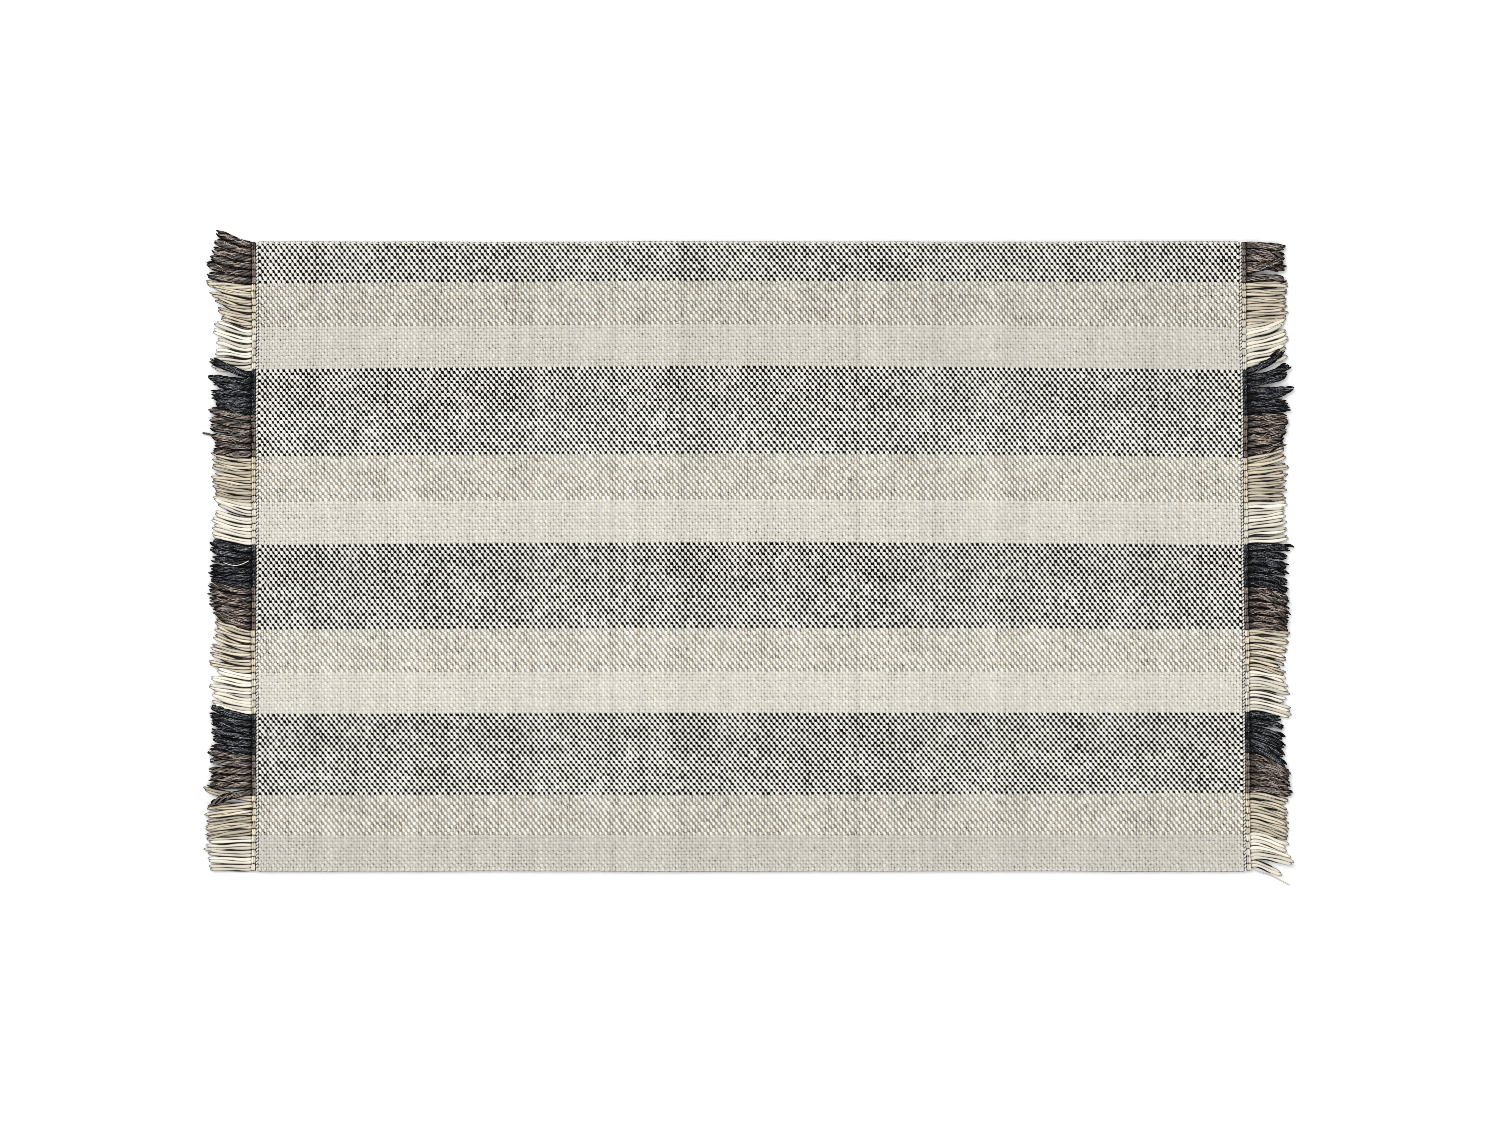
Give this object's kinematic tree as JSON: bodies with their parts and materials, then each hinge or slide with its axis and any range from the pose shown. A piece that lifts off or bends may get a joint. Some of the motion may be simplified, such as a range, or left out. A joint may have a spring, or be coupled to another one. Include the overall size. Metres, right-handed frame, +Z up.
{
  "type": "flat-woven rug",
  "caption": "Thin striped flat-woven rug, knotted along both ends, with a short corded fringe; it folds across the middle.",
  "frame": {"origin": "middle of the underside, on the floor", "axes": "+X along the stripes and the longest side, towards the right-hand fringe; +Y across the stripes, towards the first taupe stripe; +Z up"},
  "size_m": [1.2, 0.7, 0.0056],
  "materials": {
    "charcoal_yarn": "matte twisted cotton yarn, charcoal",
    "taupe_yarn": "matte twisted cotton yarn, taupe brown",
    "beige_yarn": "matte twisted cotton yarn, beige",
    "cream_yarn": "matte twisted cotton yarn, cream",
    "weft_yarn": "matte soft cotton weft, natural"
  },
  "bodies": {
    "field_left": {"header_picks_left": "weft_yarn", "knots_beige_left": "beige_yarn", "knots_charcoal_left": "charcoal_yarn", "knots_cream_left": "cream_yarn", "knots_taupe_left": "taupe_yarn", "selvedge_back_left": "weft_yarn", "selvedge_front_left": "weft_yarn", "stripe_01_taupe_left": "taupe_yarn", "stripe_02_beige_left": "beige_yarn", "stripe_03_cream_left": "cream_yarn", "stripe_04_charcoal_left": "charcoal_yarn", "stripe_05_taupe_left": "taupe_yarn", "stripe_06_beige_left": "beige_yarn", "stripe_07_cream_left": "cream_yarn", "stripe_08_charcoal_left": "charcoal_yarn", "stripe_09_taupe_left": "taupe_yarn", "stripe_10_beige_left": "beige_yarn", "stripe_11_cream_left": "cream_yarn", "stripe_12_charcoal_left": "charcoal_yarn", "stripe_13_taupe_left": "taupe_yarn", "stripe_14_beige_left": "beige_yarn", "stripe_15_cream_left": "cream_yarn"},
    "field_right": {"header_picks_right": "weft_yarn", "knots_beige_right": "beige_yarn", "knots_charcoal_right": "charcoal_yarn", "knots_cream_right": "cream_yarn", "knots_taupe_right": "taupe_yarn", "selvedge_back_right": "weft_yarn", "selvedge_front_right": "weft_yarn", "stripe_01_taupe_right": "taupe_yarn", "stripe_02_beige_right": "beige_yarn", "stripe_03_cream_right": "cream_yarn", "stripe_04_charcoal_right": "charcoal_yarn", "stripe_05_taupe_right": "taupe_yarn", "stripe_06_beige_right": "beige_yarn", "stripe_07_cream_right": "cream_yarn", "stripe_08_charcoal_right": "charcoal_yarn", "stripe_09_taupe_right": "taupe_yarn", "stripe_10_beige_right": "beige_yarn", "stripe_11_cream_right": "cream_yarn", "stripe_12_charcoal_right": "charcoal_yarn", "stripe_13_taupe_right": "taupe_yarn", "stripe_14_beige_right": "beige_yarn", "stripe_15_cream_right": "cream_yarn"},
    "fringe_left": {"fringe_beige_left": "beige_yarn", "fringe_charcoal_left": "charcoal_yarn", "fringe_cream_left": "cream_yarn", "fringe_taupe_left": "taupe_yarn"},
    "fringe_right": {"fringe_beige_right": "beige_yarn", "fringe_charcoal_right": "charcoal_yarn", "fringe_cream_right": "cream_yarn", "fringe_taupe_right": "taupe_yarn"}
  },
  "joints": [
    {"name": "fold_in_half", "type": "hinge", "parent": "field_left", "child": "field_right", "pos_m": [0, 0, 0.0059], "axis": [0, -1, 0], "range_deg": [0, 174]},
    {"name": "fringe_left_turn", "type": "hinge", "parent": "field_left", "child": "fringe_left", "pos_m": [-0.55535, 0, 0.0059], "axis": [0, 1, 0], "range_deg": [0, 170]},
    {"name": "fringe_right_turn", "type": "hinge", "parent": "field_right", "child": "fringe_right", "pos_m": [0.55535, 0, 0.0059], "axis": [0, -1, 0], "range_deg": [0, 170]}
  ]
}
